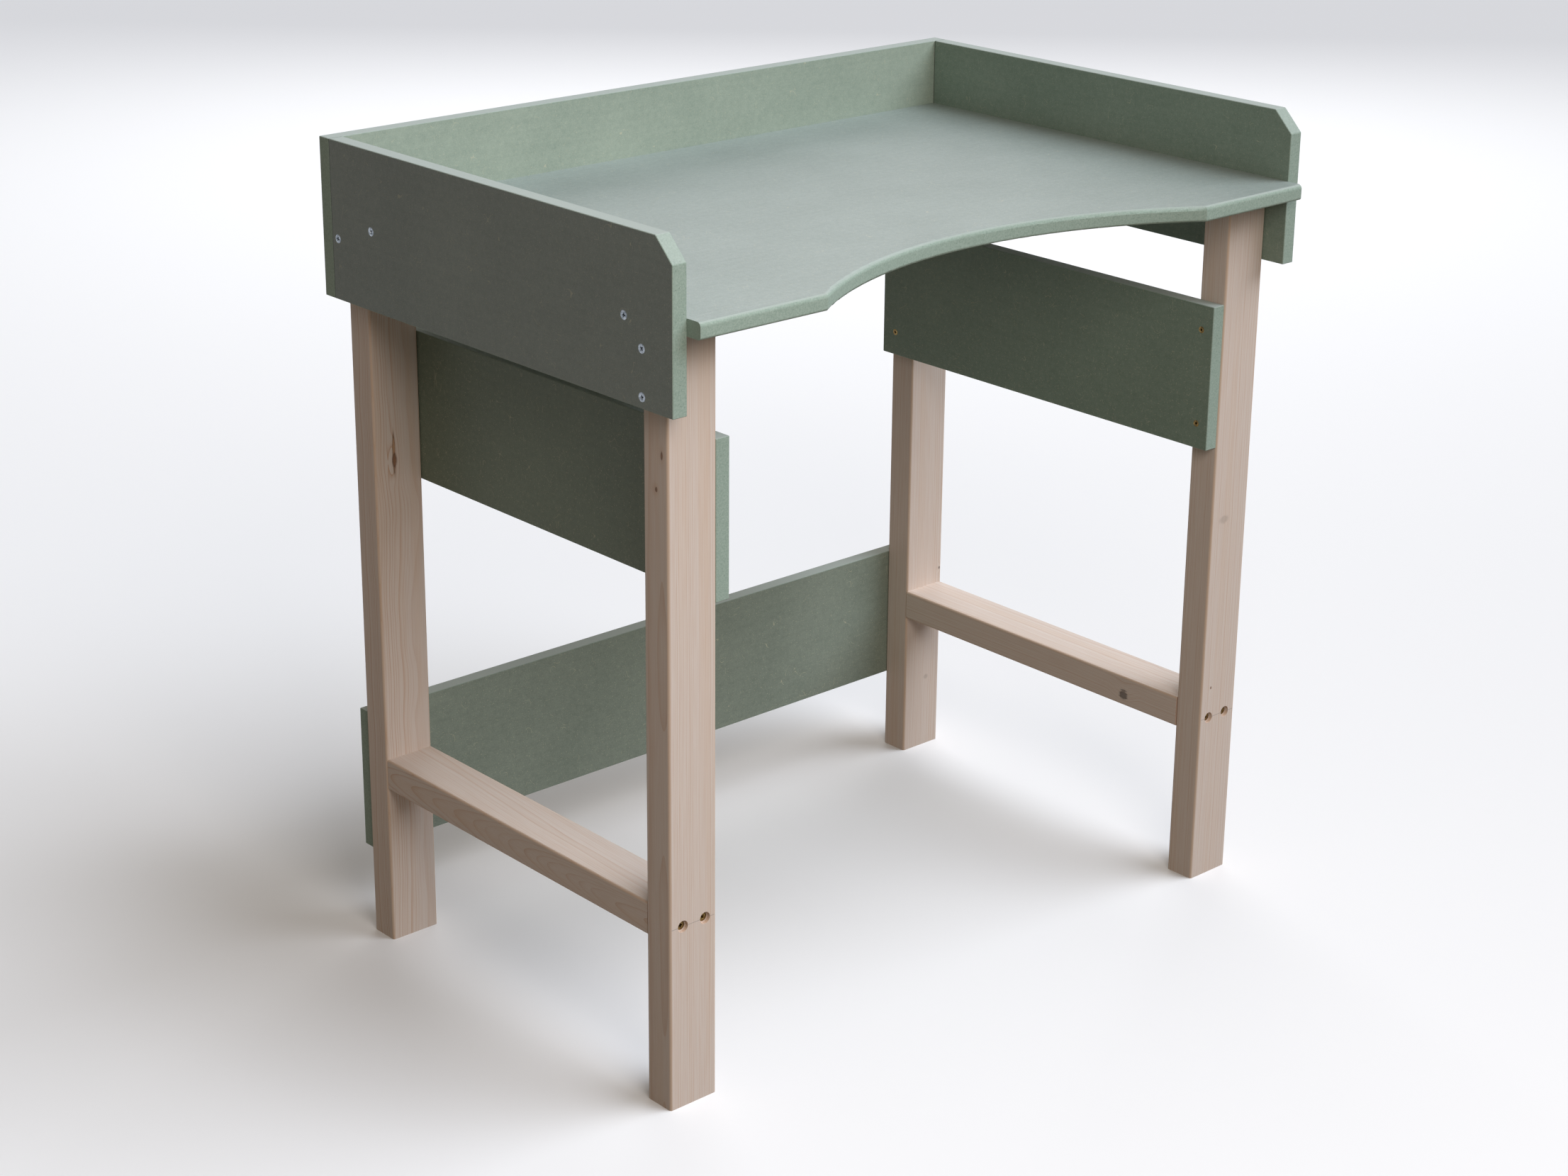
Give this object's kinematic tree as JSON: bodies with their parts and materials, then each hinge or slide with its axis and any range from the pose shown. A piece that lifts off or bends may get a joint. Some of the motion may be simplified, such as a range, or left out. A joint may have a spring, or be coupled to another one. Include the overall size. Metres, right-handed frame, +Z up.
{
  "type": "potting bench",
  "caption": "Low timber-framed potting bench with a board top inside raised side and back boards, and a curved cut-out in its front edge.",
  "frame": {"origin": "on the floor, at the middle of the bench's width and depth", "axes": "+Z up, -Y towards the person at the bench, +X to the right as seen from the front"},
  "size_m": [0.936, 0.618, 0.958],
  "materials": {
    "mdf_board": "moisture-resistant MDF, raw grey-green faces and sawn edges",
    "spruce_timber": "planed softwood with rounded edges, unfinished",
    "bright_zinc_screw": "bright zinc-plated steel",
    "yellow_zinc_screw": "yellow zinc-plated steel"
  },
  "bodies": {
    "root": {"tabletop": "mdf_board", "back_board": "mdf_board", "lower_back_board": "mdf_board", "left_side_board": "mdf_board", "right_side_board": "mdf_board", "left_inner_board": "mdf_board", "right_inner_board": "mdf_board", "front_left_leg": "spruce_timber", "front_right_leg": "spruce_timber", "rear_left_leg": "spruce_timber", "rear_right_leg": "spruce_timber", "left_stretcher": "spruce_timber", "right_stretcher": "spruce_timber", "left_side_board_screws": "bright_zinc_screw", "right_side_board_screws": "bright_zinc_screw", "back_board_screws": "bright_zinc_screw", "lower_back_board_screws": "bright_zinc_screw", "left_inner_board_screws": "yellow_zinc_screw", "right_inner_board_screws": "yellow_zinc_screw", "front_left_stretcher_screws": "yellow_zinc_screw", "front_right_stretcher_screws": "yellow_zinc_screw", "rear_left_stretcher_screws": "yellow_zinc_screw", "rear_right_stretcher_screws": "yellow_zinc_screw"}
  },
  "joints": []
}
